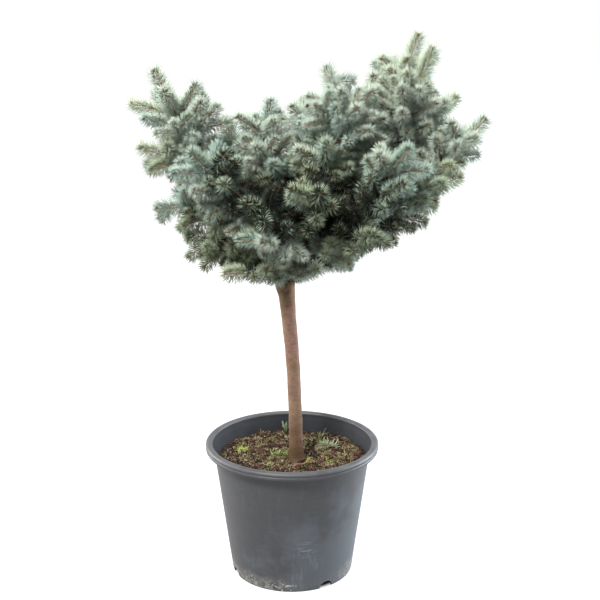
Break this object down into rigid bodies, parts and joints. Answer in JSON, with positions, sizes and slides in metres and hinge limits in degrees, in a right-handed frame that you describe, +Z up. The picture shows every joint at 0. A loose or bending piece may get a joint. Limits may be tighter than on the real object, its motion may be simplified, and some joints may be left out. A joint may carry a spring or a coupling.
{
  "type": "potted blue spruce",
  "caption": "Globe blue spruce grafted on a short bare stem, with upswept bristly shoots, in a tapered plastic nursery pot of soil.",
  "frame": {"origin": "centre of the pot's flat underside, on the ground", "axes": "+Z up; the crown's best side faces -Y; +X is the side of the crown with the tallest leader"},
  "size_m": [0.7249, 0.5688, 1.146],
  "materials": {
    "pot": "satin slate-grey moulded plastic",
    "soil": "damp bark and peat substrate",
    "bark": "matt pinkish brown bark",
    "bough": "matt orange-brown young bark",
    "foliage": "waxy blue-green needles"
  },
  "bodies": {
    "root": {"bough_back_1": "bough", "bough_back_2": "bough", "bough_back_3": "bough", "bough_centre_left": "bough", "bough_left_back": "bough", "bough_left_front": "bough", "bough_left_high": "bough", "bough_left_low": "bough", "bough_left_side": "bough", "bough_lower_1": "bough", "bough_lower_2": "bough", "bough_lower_3": "bough", "bough_lower_4": "bough", "bough_lower_5": "bough", "bough_lower_6": "bough", "bough_middle_1": "bough", "bough_middle_2": "bough", "bough_middle_3": "bough", "bough_right_back": "bough", "bough_right_front": "bough", "bough_right_high": "bough", "bough_right_low": "bough", "bough_right_side": "bough", "bough_right_tip": "bough", "pot": "pot", "soil": "soil", "spray_back_1": "foliage", "spray_back_2": "foliage", "spray_back_3": "foliage", "spray_centre_back": "foliage", "spray_centre_front": "foliage", "spray_centre_high": "foliage", "spray_centre_left": "foliage", "spray_centre_right": "foliage", "spray_left_back": "foliage", "spray_left_front": "foliage", "spray_left_high": "foliage", "spray_left_low": "foliage", "spray_left_side": "foliage", "spray_lower_1": "foliage", "spray_lower_2": "foliage", "spray_lower_3": "foliage", "spray_lower_4": "foliage", "spray_lower_5": "foliage", "spray_lower_6": "foliage", "spray_middle_1": "foliage", "spray_middle_2": "foliage", "spray_middle_3": "foliage", "spray_right_back": "foliage", "spray_right_front": "foliage", "spray_right_high": "foliage", "spray_right_low": "foliage", "spray_right_side": "foliage", "spray_right_tip": "foliage", "spray_skirt_1": "foliage", "spray_skirt_2": "foliage", "spray_skirt_3": "foliage", "spray_skirt_4": "foliage", "spray_skirt_5": "foliage", "trunk": "bark"}
  },
  "joints": []
}
